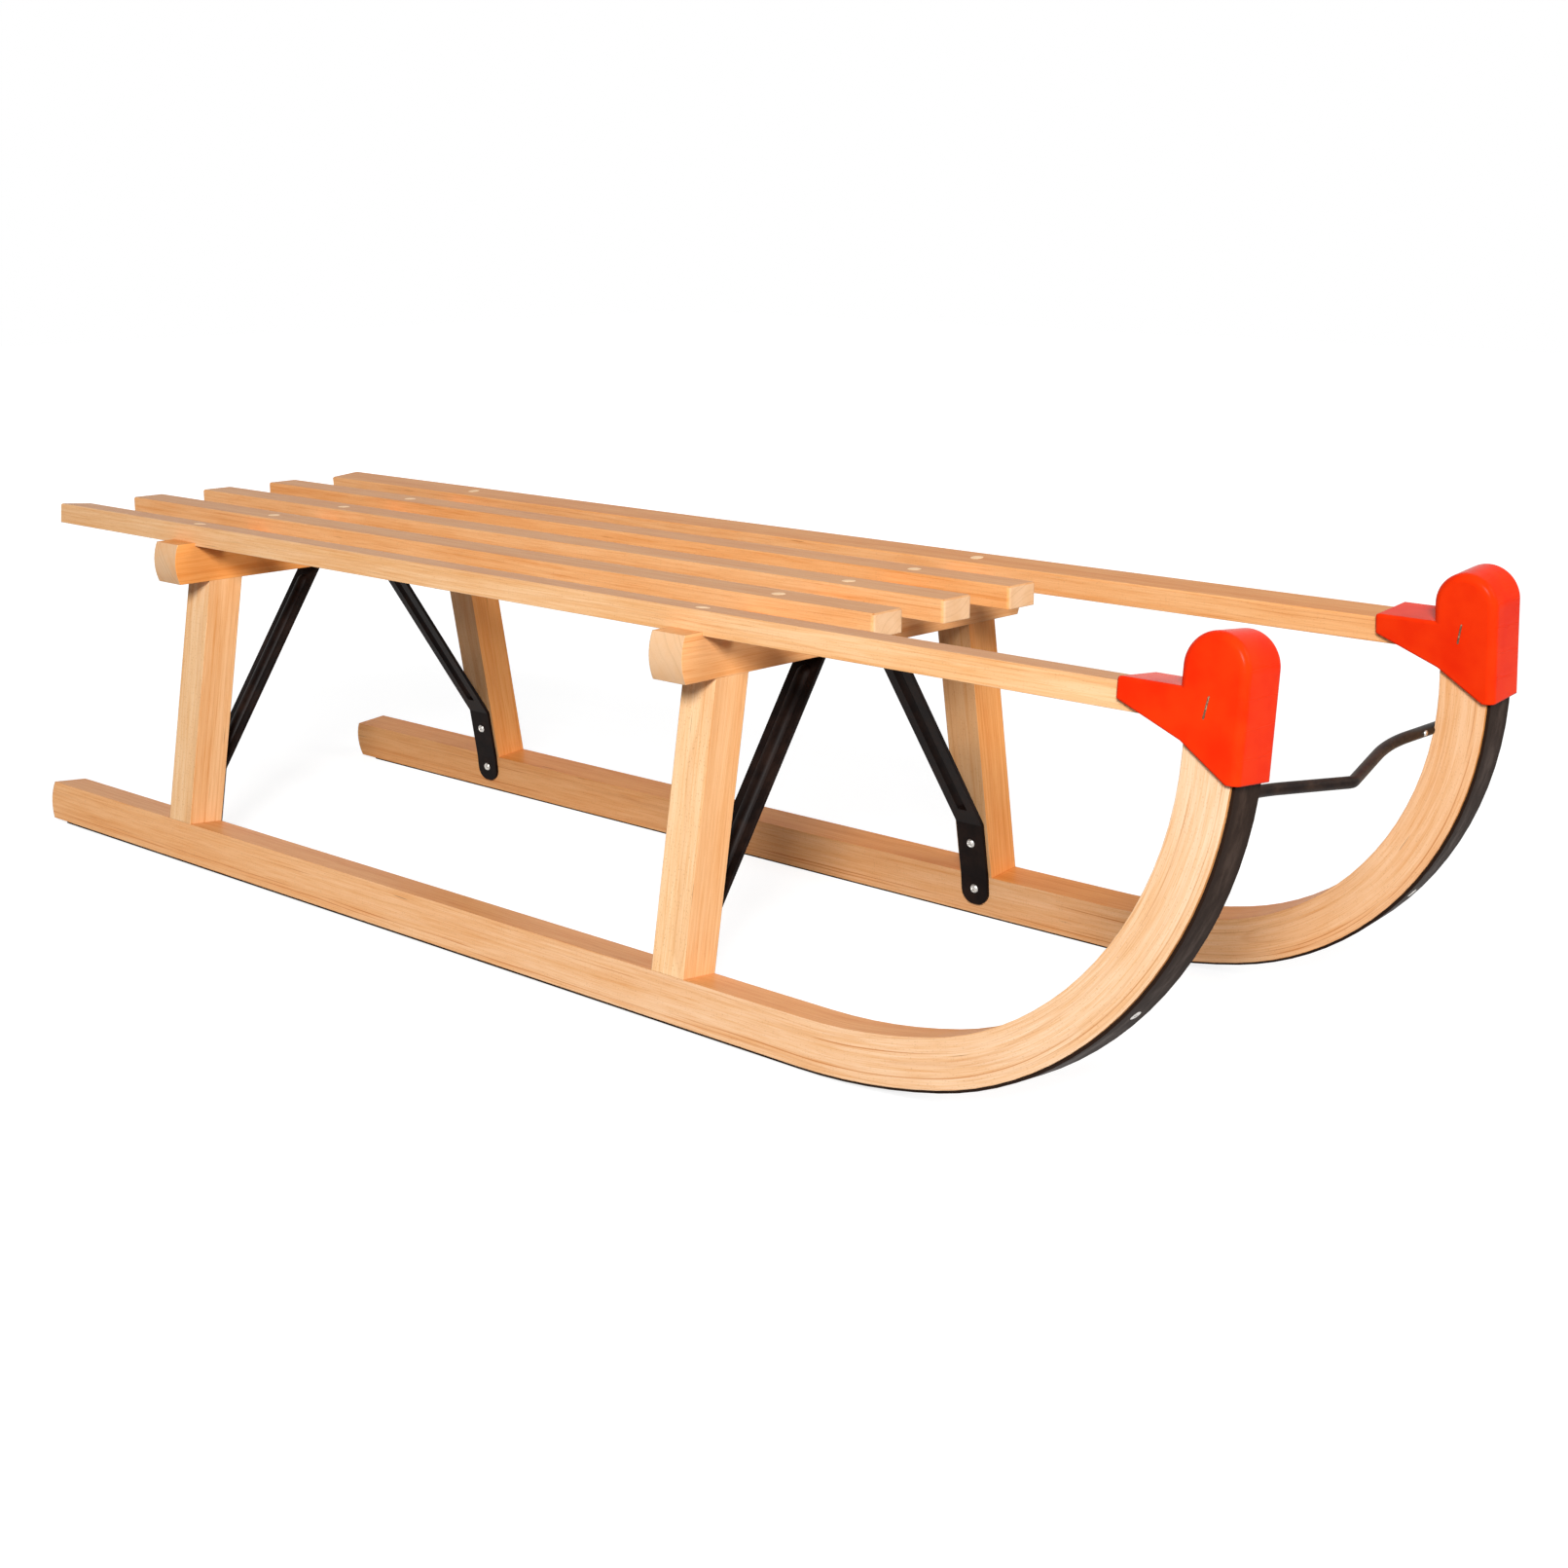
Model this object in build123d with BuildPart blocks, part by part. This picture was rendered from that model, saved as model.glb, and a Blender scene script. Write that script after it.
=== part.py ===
"""Davos sled: two bent wooden runners, four splayed legs, two crossbars, a slatted seat,
steel braces and shoes, a bent pull bar between the horns and a moulded cap on each horn.

Millimetres. +X is forward, +Y is left, +Z is up. The origin is on the floor below the middle.
"""
from build123d import *
from math import cos, radians, sin, tan
import os

# Overall
sled_length = 1108.0
seat_height = 260.0
runner_spread = 314.4
frame_lean = 5.3

# Runners: each is one bent lath whose end rises above the seat as a horn
runner_width = 28.0
runner_depth = 30.0
lead_radius = 440.0
lead_angle = 13.7
bend_radius = 221.0
horn_rise = 28.5
heel_bulge = 4.0

# Steel shoe under each runner
shoe_width = 24.0
shoe_thickness = 2.0
shoe_setback = 20.0
shoe_end_angle = 89.0

# Legs, tenoned into the runner below and the crossbar above, set back from the sled's ends
leg_depth = 28.0
leg_lean = 9.6
rear_leg_setback = 185.5
front_leg_setback = 389.0
tenon_depth = 14.0
tenon_width = 16.0
foot_tenon = 18.0
head_tenon = 15.0
tenon_end_gap = 0.5

# Crossbars, square bars whose sawn ends bulge outwards
crossbar_length = 333.0
crossbar_height = 30.0
crossbar_width = 28.0
crossbar_bulge = 3.3
notch_depth = 3.5

# Seat slats
slat_width = 28.0
slat_thickness = 15.0
slat_setback = 9.0
inner_slat_setback = 299.0
slat_corner = 2.5
slat_edge = 1.0

# Steel braces from the middle of each crossbar to the foot of each leg, stiffened by a bead
brace_width = 23.0
brace_thickness = 2.5
brace_head_near = 11.0
brace_head_bend = 36.0
brace_foot_bend = 72.0
brace_foot_end = 10.0
brace_end_round = 10.0
bead_width = 11.0
bead_rise = 2.8
bead_margin = 9.0

# Pull bar, a round rod let into the back of both horns
rod_diameter = 7.0
rod_groove = 1.0
rod_below_seat = 65.0
rod_end_margin = 11.0
rod_shoulder = 74.5
rod_reach = 20.0
rod_drop = 5.4
rod_shoulder_bend = 80.0
rod_nose_bend = 10.0

# Moulded horn caps
cap_wall = 3.0
cap_side_wall = 3.4
cap_horn_gap = 1.0
cap_length = 76.0
cap_lip = 6.5
cap_front_drop = 42.6
cap_knee_drop = 24.3
cap_tail_drop = 8.3
cap_tail_round = 9.0
cap_tail_corner = 2.0
cap_edge = 4.8
cap_tail_edge = 1.3

# Places worked out from the driving sizes
lean = radians(frame_lean)
splay = radians(leg_lean)
lead = radians(lead_angle)
frame_rise = shoe_width / 2 * sin(lean)
runner_rear = -sled_length / 2
horn_front = sled_length / 2 - cap_wall - shoe_thickness
horn_rear = horn_front - runner_depth
runner_top = shoe_thickness + runner_depth
lead_start = horn_front - bend_radius * (1 - sin(lead)) - lead_radius * sin(lead)
bend_top = shoe_thickness + lead_radius * (1 - cos(lead)) + bend_radius * cos(lead)
bend_centre_x = horn_front - bend_radius
seat_up = (seat_height - frame_rise) / cos(lean)
horn_height = seat_up + horn_rise
dome_height = horn_height - runner_depth / 2
outer_slat_y = runner_spread / 2 - seat_up * sin(lean)
slat_rear = runner_rear + slat_setback
slat_under = seat_height - slat_thickness
crossbar_top = slat_under + notch_depth
crossbar_under = crossbar_top - crossbar_height
leg_foot_y = runner_spread / 2 - runner_top * sin(lean)
leg_foot_z = frame_rise + runner_top * cos(lean)
leg_length = (crossbar_under - leg_foot_z) / cos(splay)
inner_slat_y = outer_slat_y / 2
inner_slat_front = sled_length / 2 - inner_slat_setback
rear_leg_x = runner_rear + rear_leg_setback
front_leg_x = sled_length / 2 - front_leg_setback
rod_height = seat_height - rod_below_seat
bead_radius = (bead_rise**2 + (bead_width / 2) ** 2) / (2 * bead_rise)
bead_depth = bead_radius - bead_rise
cap_front = sled_length / 2
cap_rear = horn_rear - cap_horn_gap - cap_wall
cap_tail_x = cap_front - cap_length
cap_top = seat_up + cap_wall

pick = 0.1  # play when edges are picked by their place or length

sides = (("left", 1), ("right", -1))
posts = (("rear", rear_leg_x), ("front", front_leg_x))


def frame_plane(side):
    """Middle plane of one side frame: x runs forward, y runs up along the lean."""
    return Plane((0, side * runner_spread / 2, frame_rise), (1, 0, 0), (0, -cos(lean), -side * sin(lean)))


def leg_plane(side, x):
    """Plane across a leg where it stands on the runner; z runs up along the leg."""
    return Plane((x, side * leg_foot_y, leg_foot_z), (1, 0, 0), (0, -side * sin(splay), cos(splay)))


def seat_plane(side):
    """Plane of the underside of an outer slat; z runs up along the side frame."""
    up = (0, -side * sin(lean), cos(lean))
    return Plane(frame_plane(side).from_local_coords((0, seat_up - slat_thickness, 0)), (1, 0, 0), up)


def round_rod(middle, length, radius):
    """Round-ended rod along the y axis of a plane; the length is that of its straight part."""
    with BuildPart(Plane(middle.origin, middle.x_dir, middle.y_dir), mode=Mode.PRIVATE) as rod:
        Cylinder(radius, length)
        with Locations((0, 0, -length / 2), (0, 0, length / 2)):
            Sphere(radius)
    return rod.part


def write(piece, name):
    """Label one finished piece and write it as its own file."""
    piece.part.label = name
    export_step(piece.part, f"parts/{name}.step")


os.makedirs("parts", exist_ok=True)

# Pull bar: straight ends behind the horns, a wide V between them that points forward
rod_up = (rod_height - frame_rise) / cos(lean)
groove_radius = bend_radius - runner_depth - rod_diameter / 2 + rod_groove
rod_below_bend = max(bend_top - rod_up, 0)
rod_x = bend_centre_x + (groove_radius**2 - rod_below_bend**2) ** 0.5
rod_end_y = runner_spread / 2 - rod_up * sin(lean) + runner_width / 2 - rod_end_margin
with BuildPart() as pull_bar:
    with BuildLine():
        FilletPolyline(
            (rod_x, rod_end_y, rod_height),
            (rod_x, rod_shoulder, rod_height),
            (rod_x + rod_reach, 0, rod_height - rod_drop),
            (rod_x, -rod_shoulder, rod_height),
            (rod_x, -rod_end_y, rod_height),
            radius=[rod_shoulder_bend, rod_nose_bend, rod_shoulder_bend],
        )
    with BuildSketch(Plane((rod_x, rod_end_y, rod_height), (1, 0, 0), (0, -1, 0))):
        Circle(rod_diameter / 2)
    sweep()
write(pull_bar, "pull_bar")

for side_name, side in sides:
    frame = frame_plane(side)

    # Runner: flat sole, easy lead, tight bend and upright horn, drawn long and cut to a round end
    with BuildPart() as runner:
        with BuildSketch(frame):
            with BuildLine():
                sole = Line((runner_rear + heel_bulge, shoe_thickness), (lead_start, shoe_thickness))
                lead_out = JernArc(sole @ 1, sole % 1, lead_radius, lead_angle)
                bend_out = JernArc(lead_out @ 1, lead_out % 1, bend_radius, 90 - lead_angle)
                front = Line(bend_out @ 1, (horn_front, bend_top + seat_up))
                blank_end = Line(front @ 1, (horn_rear, bend_top + seat_up))
                back = Line(blank_end @ 1, (horn_rear, bend_top))
                bend_in = JernArc(back @ 1, back % 1, bend_radius - runner_depth, lead_angle - 90)
                lead_in = JernArc(bend_in @ 1, bend_in % 1, lead_radius - runner_depth, -lead_angle)
                deck = Line(lead_in @ 1, (runner_rear + heel_bulge, runner_top))
                ThreePointArc(deck @ 1, (runner_rear, runner_top - runner_depth / 2), sole @ 0)
            make_face()
            with Locations((horn_front - runner_depth / 2, dome_height)):
                above = (Align.CENTER, Align.MIN)
                Rectangle(bend_radius, bend_top + seat_up, align=above, mode=Mode.SUBTRACT)
                Circle(runner_depth / 2)
        extrude(amount=runner_width / 2, both=True)
        for _, leg_x in posts:
            with BuildSketch(leg_plane(side, leg_x).offset(-foot_tenon - tenon_end_gap)):
                Rectangle(tenon_depth, tenon_width)
            extrude(amount=foot_tenon + tenon_end_gap + leg_depth, mode=Mode.SUBTRACT)
        add(pull_bar.part, mode=Mode.SUBTRACT)
    write(runner, f"runner_{side_name}")

    # Shoe: a steel strip bent round the sole and up under the cap
    with BuildPart() as shoe:
        with BuildSketch(frame):
            with BuildLine():
                tread = Line((runner_rear + shoe_setback, 0), (lead_start, 0))
                lead_low = JernArc(tread @ 1, tread % 1, lead_radius + shoe_thickness, lead_angle)
                bend_low = JernArc(
                    lead_low @ 1, lead_low % 1, bend_radius + shoe_thickness, shoe_end_angle - lead_angle
                )
                bed = Line((runner_rear + shoe_setback, shoe_thickness), (lead_start, shoe_thickness))
                lead_high = JernArc(bed @ 1, bed % 1, lead_radius, lead_angle)
                bend_high = JernArc(lead_high @ 1, lead_high % 1, bend_radius, shoe_end_angle - lead_angle)
                Line(bend_low @ 1, bend_high @ 1)
                Line(tread @ 0, bed @ 0)
            make_face()
        extrude(amount=shoe_width / 2, both=True)
    write(shoe, f"runner_shoe_{side_name}")

    # Outer slat: lies along the side frame and butts against the back of the horn
    with BuildPart() as outer_slat:
        with BuildSketch(seat_plane(side)) as slat_plan:
            with Locations(((slat_rear + horn_rear) / 2, 0)):
                Rectangle(horn_rear - slat_rear, slat_width)
            fillet(slat_plan.vertices().sort_by(Axis.X)[:2], slat_corner)
        extrude(amount=slat_thickness)
        top_edges = outer_slat.faces().sort_by(Axis.Z)[-1].edges()
        chamfer(top_edges.sort_by(Axis.X)[:-1], slat_edge)
        add(runner.part, mode=Mode.SUBTRACT)
    write(outer_slat, f"slat_outer_{side_name}")

    # Cap: a half-round hood over the horn with a tapering tail over the slat, open below
    hood_radius = (cap_front - cap_rear) / 2
    cap_mouth = seat_up - cap_front_drop - cap_wall
    with BuildPart() as cap:
        with BuildSketch(frame) as cap_side:
            with BuildLine():
                tail = Line((cap_tail_x, cap_top), (cap_rear, cap_top))
                nape = Line(tail @ 1, (cap_rear, dome_height))
                hood = JernArc(nape @ 1, nape % 1, hood_radius, -180)
                brow = Line(hood @ 1, (cap_front, seat_up - cap_front_drop))
                lip = Line(brow @ 1, (cap_front - cap_lip, seat_up - cap_front_drop))
                jaw = Line(lip @ 1, (horn_rear, seat_up - cap_knee_drop))
                chin = Line(jaw @ 1, (cap_tail_x, seat_up - cap_tail_drop))
                Line(chin @ 1, tail @ 0)
            make_face()
            tail_low, tail_high = cap_side.vertices().sort_by(Axis.X)[:2].sort_by(Axis.Y)
            fillet(tail_high, cap_tail_corner)
            fillet(tail_low, cap_tail_round)
        extrude(amount=runner_width / 2 + cap_side_wall, both=True)
        rim = cap.edges().filter_by(lambda e: abs(frame.to_local_coords(e.center()).Z) > runner_width / 2)
        upper = rim.filter_by(
            lambda e: frame.to_local_coords(e.center()).Y > cap_top + pick
            or abs(frame.to_local_coords(e.center()).X - cap_front) < pick
        )
        fillet(upper, cap_edge)
        tail_rim = cap.edges().filter_by(Axis.X).filter_by(
            lambda e: abs(frame.to_local_coords(e.center()).Y - cap_top) < pick
        )
        chamfer(tail_rim, cap_tail_edge)
        with BuildSketch(frame):
            with BuildLine():
                roof = Line((cap_tail_x - slat_width, seat_up), (cap_rear + cap_wall, seat_up))
                nape_in = Line(roof @ 1, (cap_rear + cap_wall, dome_height))
                hood_in = JernArc(nape_in @ 1, nape_in % 1, hood_radius - cap_wall, -180)
                brow_in = Line(hood_in @ 1, (cap_front - cap_wall, cap_mouth))
                floor_in = Line(brow_in @ 1, (cap_tail_x - slat_width, cap_mouth))
                Line(floor_in @ 1, roof @ 0)
            make_face()
        extrude(amount=runner_width / 2, both=True, mode=Mode.SUBTRACT)
    write(cap, f"horn_cap_{side_name}")

for post_name, post_x in posts:
    # Crossbar: square bar with bulging ends, notched for the slats and mortised for the legs
    with BuildPart() as crossbar:
        with BuildSketch(Plane.YZ.offset(post_x)):
            with BuildLine():
                half = crossbar_length / 2 - crossbar_bulge
                middle = (crossbar_under + crossbar_top) / 2
                under = Line((-half, crossbar_under), (half, crossbar_under))
                ThreePointArc(under @ 1, (half + crossbar_bulge, middle), (half, crossbar_top))
                over = Line((half, crossbar_top), (-half, crossbar_top))
                ThreePointArc(over @ 1, (-half - crossbar_bulge, middle), under @ 0)
            make_face()
        extrude(amount=crossbar_width / 2, both=True)
        with BuildSketch(Plane.YZ.offset(post_x)):
            with Locations(*((i * inner_slat_y, slat_under + slat_thickness / 2) for i in (-1, 0, 1))):
                Rectangle(slat_width, slat_thickness)
            for _, side in sides:
                middle_of_slat = frame_plane(side).from_local_coords((0, seat_up - slat_thickness / 2, 0))
                with Locations((middle_of_slat.Y, middle_of_slat.Z)):
                    Rectangle(slat_width, slat_thickness, rotation=side * frame_lean)
        extrude(amount=crossbar_width, both=True, mode=Mode.SUBTRACT)
        for _, side in sides:
            with BuildSketch(leg_plane(side, post_x).offset(leg_length - foot_tenon)):
                Rectangle(tenon_depth, tenon_width)
            extrude(amount=foot_tenon + head_tenon + tenon_end_gap, mode=Mode.SUBTRACT)
    write(crossbar, f"crossbar_{post_name}")

    for side_name, side in sides:
        # Leg: square post with a tenon at each end, its ends cut to its seats
        runner_face = frame_plane(side).from_local_coords((0, runner_top, 0))
        runner_deck = Plane(runner_face, (1, 0, 0), (0, -side * sin(lean), cos(lean)))
        with BuildPart() as leg:
            with BuildSketch(leg_plane(side, post_x).offset(-foot_tenon)):
                Rectangle(leg_depth, runner_width)
            extrude(amount=foot_tenon + leg_length + head_tenon)
            split(bisect_by=runner_deck, keep=Keep.TOP)
            split(bisect_by=Plane.XY.offset(crossbar_under), keep=Keep.BOTTOM)
            with BuildSketch(leg_plane(side, post_x).offset(-foot_tenon)):
                Rectangle(tenon_depth, tenon_width)
            extrude(amount=foot_tenon + leg_length + head_tenon)
        write(leg, f"leg_{post_name}_{side_name}")

        # Brace: flat steel strip under the crossbar and inside the foot of the leg,
        # with a hollow bead pressed along the stretch between its two flat ends
        inner_leg = leg_plane(side, post_x).from_local_coords((0, -side * runner_width / 2, 0))
        inner_runner = frame_plane(side).from_local_coords((0, runner_top, side * runner_width / 2))

        def leg_y(z):
            """Distance of the leg's inner face from the middle at height z."""
            return abs(inner_leg.Y) - (z - inner_leg.Z) * tan(splay)

        def runner_y(z):
            """Distance of the runner's inner face from the middle at height z."""
            return abs(inner_runner.Y) - (z - inner_runner.Z) * tan(lean)

        knuckle = inner_runner.Z - (leg_y(inner_runner.Z) - runner_y(inner_runner.Z)) / (
            tan(lean) - tan(splay)
        )
        seat_line = (
            (brace_head_near, crossbar_under),
            (brace_head_bend, crossbar_under),
            (leg_y(brace_foot_bend), brace_foot_bend),
            (leg_y(knuckle), knuckle),
            (runner_y(brace_foot_end), brace_foot_end),
        )
        head, foot = (Vector(post_x, side * y, z) for y, z in seat_line[1:3])
        strut = Plane((head + foot) / 2, (1, 0, 0), (head - foot).cross(Vector(side, 0, 0)))
        bead_length = (foot - head).length - 2 * bead_margin - bead_width
        with BuildPart() as brace:
            with BuildSketch(Plane.YZ.offset(post_x)):
                with BuildLine():
                    Polyline(*((side * y, z) for y, z in seat_line))
                    offset(amount=brace_thickness, side=Side.RIGHT if side > 0 else Side.LEFT)
                make_face()
            extrude(amount=brace_width / 2, both=True)
            corners = brace.edges().filter_by(lambda e: abs(e.length - brace_thickness) < pick)
            fillet(corners.sort_by(Axis.Z)[:2] + corners.sort_by(Axis.Z)[-2:], brace_end_round)
            with BuildPart(mode=Mode.PRIVATE) as bead:
                add(round_rod(strut.offset(-bead_depth), bead_length, bead_radius))
                split(bisect_by=strut, keep=Keep.TOP)
            add(bead.part)
            with BuildSketch(Plane(strut.offset(-bead_depth).origin, strut.x_dir, strut.y_dir)):
                Circle(bead_radius - brace_thickness)
            extrude(amount=bead_length / 2, both=True, mode=Mode.SUBTRACT)
        write(brace, f"brace_{post_name}_{side_name}")

# Inner slats: three straight laths with rounded corners and top edges
inner_length = inner_slat_front - slat_rear
for slat_name, slat_y in (("inner_left", inner_slat_y), ("middle", 0), ("inner_right", -inner_slat_y)):
    with BuildPart() as slat:
        with BuildSketch(Plane.XY.offset(slat_under)):
            with Locations((slat_rear + inner_length / 2, slat_y)):
                RectangleRounded(inner_length, slat_width, slat_corner)
        extrude(amount=slat_thickness)
        chamfer(slat.faces().sort_by(Axis.Z)[-1].edges(), slat_edge)
    write(slat, f"slat_{slat_name}")
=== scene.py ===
"""Davos sled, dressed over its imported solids, in the order in which it is put together.

Metres. +X is forward, +Y is left, +Z is up. The floor is at zero.
"""

import bmesh
import bpy
import numpy as np
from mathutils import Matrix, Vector


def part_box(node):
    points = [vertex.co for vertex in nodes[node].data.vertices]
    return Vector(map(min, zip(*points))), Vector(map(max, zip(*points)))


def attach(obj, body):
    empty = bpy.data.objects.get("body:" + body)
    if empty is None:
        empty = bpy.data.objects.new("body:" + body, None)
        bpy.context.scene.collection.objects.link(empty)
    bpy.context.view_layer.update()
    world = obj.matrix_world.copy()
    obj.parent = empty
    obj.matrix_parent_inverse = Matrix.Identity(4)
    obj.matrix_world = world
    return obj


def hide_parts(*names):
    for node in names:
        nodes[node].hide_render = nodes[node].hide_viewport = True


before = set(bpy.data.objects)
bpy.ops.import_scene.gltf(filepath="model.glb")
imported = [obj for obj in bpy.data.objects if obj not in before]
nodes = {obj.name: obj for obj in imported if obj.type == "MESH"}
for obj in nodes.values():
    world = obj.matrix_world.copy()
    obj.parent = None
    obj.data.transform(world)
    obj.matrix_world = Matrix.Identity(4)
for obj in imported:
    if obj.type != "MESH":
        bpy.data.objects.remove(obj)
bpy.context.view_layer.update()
bpy.context.view_layer.update()
sides = (("left", 1), ("right", -1))


# Runners: each is one straight-grained beech lath, steamed and bent up into a horn at the front,
# planed on all four sides, leaning inwards and finished with a thin clear lacquer.
# The growth lines follow the bend, so the pattern is laid out along the runner's own path.
class Wire:
    """One output socket of a material. Arithmetic on wires and numbers adds Math nodes."""

    def __init__(self, tree, socket=None):
        self.tree = tree
        self.socket = socket

    def add(self, kind, settings=None, inputs=None, output=0):
        """Add a node: first its settings, then a number, colour or wire for each input named."""
        node = self.tree.nodes.new("ShaderNode" + kind)
        for name, value in (settings or {}).items():
            setattr(node, name, value)
        for name, value in (inputs or {}).items():
            if isinstance(value, Wire):
                self.tree.links.new(value.socket, node.inputs[name])
            else:
                node.inputs[name].default_value = value
        return Wire(self.tree, node.outputs[output])

    def math(self, operation, *values):
        return self.add("Math", {"operation": operation}, dict(enumerate(values)))

    def __add__(self, other):
        return self.math("ADD", self, other)

    def __sub__(self, other):
        return self.math("SUBTRACT", self, other)

    def __rsub__(self, other):
        return self.math("SUBTRACT", other, self)

    def __mul__(self, other):
        return self.math("MULTIPLY", self, other)

    def __truediv__(self, other):
        return self.math("DIVIDE", self, other)

    def __pow__(self, other):
        return self.math("POWER", self, other)

    def __gt__(self, other):
        return self.math("GREATER_THAN", self, other)

    def __lt__(self, other):
        return self.math("LESS_THAN", self, other)

    def __abs__(self):
        return self.math("ABSOLUTE", self)

    __radd__ = __add__
    __rmul__ = __mul__

    def step(self, low, high):
        """Smooth step: 0 at low, 1 at high, whichever of them is the larger."""
        ends = {"Value": self, "From Min": low, "From Max": high}
        return self.add("MapRange", {"interpolation_type": "SMOOTHSTEP"}, ends)

    def switch(self, before, after):
        """The value before where this wire is 0 and the value after where it is 1."""
        return before + (after - before) * self

    def tint(self, colour, other):
        """The colour where this wire is 0 and the other colour where it is 1."""
        ends = (c if isinstance(c, Wire) else (*c, 1) for c in (colour, other))
        return self.add("Mix", {"data_type": "RGBA"}, dict(zip((0, 6, 7), (self, *ends))), 2)

    def shade(self, share, colour):
        """This colour, multiplied by another where the share is 1 and left as it is where it is 0."""
        settings = {"data_type": "RGBA", "blend_type": "MULTIPLY"}
        return self.add("Mix", settings, {0: share, 6: self, 7: colour}, 2)

    def along(self, direction):
        """Dot product of this vector with a fixed direction."""
        return self.add("VectorMath", {"operation": "DOT_PRODUCT"}, {0: self, 1: direction}, "Value")

    def noise(self, parts, detail=3.0, rough=0.5):
        """Noise from 0 to 1 at the place that the three parts give, in features about one unit apart."""
        place = self.add("CombineXYZ", None, dict(enumerate(parts)))
        inputs = {"Vector": place, "Scale": 1.0, "Detail": detail, "Roughness": rough}
        return self.add("TexNoise", None, inputs)

    def dashes(self, parts):
        """Scattered spots, one in each unit cell, of which chance keeps about half."""
        place = self.add("CombineXYZ", None, dict(enumerate(parts)))
        spot = self.add("TexVoronoi", None, {"Vector": place, "Scale": 1.0}, "Distance")
        chance = Wire(self.tree, spot.socket.node.outputs["Color"]).along((1, 0, 0))
        return spot.step(0.36, 0.14) * chance.step(0.35, 0.9)


def make_finish(name, build, **constants):
    """A material whose shader gets build(wire) for its varying sockets and constants for the rest."""
    made = bpy.data.materials.new(name)
    made.use_nodes = True
    shader = made.node_tree.nodes["Principled BSDF"]
    for socket, value in build(Wire(made.node_tree)).items():
        made.node_tree.links.new(value.socket, shader.inputs[socket])
    for socket, value in constants.items():
        shader.inputs[socket.replace("_", " ")].default_value = value
    return made


def dress(node, material):
    """Give a solid its finish in the one slot of its own mesh."""
    mesh = nodes[node].data
    mesh.materials.clear()
    mesh.materials.append(material)


CREAM_WOOD, ORANGE_WOOD = np.array((0.90, 0.64, 0.39)), np.array((0.91, 0.355, 0.07))
PALE_WOOD = (0.81, 0.63, 0.46)
STREAK_SHADE, LINE_SHADE = (0.86, 0.66, 0.42, 1.0), (0.70, 0.46, 0.26, 1.0)
FLECK_WOOD, SLIT_WOOD = (0.40, 0.15, 0.045), (0.20, 0.07, 0.02)
END_WOOD, END_LINE = (0.78, 0.50, 0.29), (0.48, 0.26, 0.13)


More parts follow.
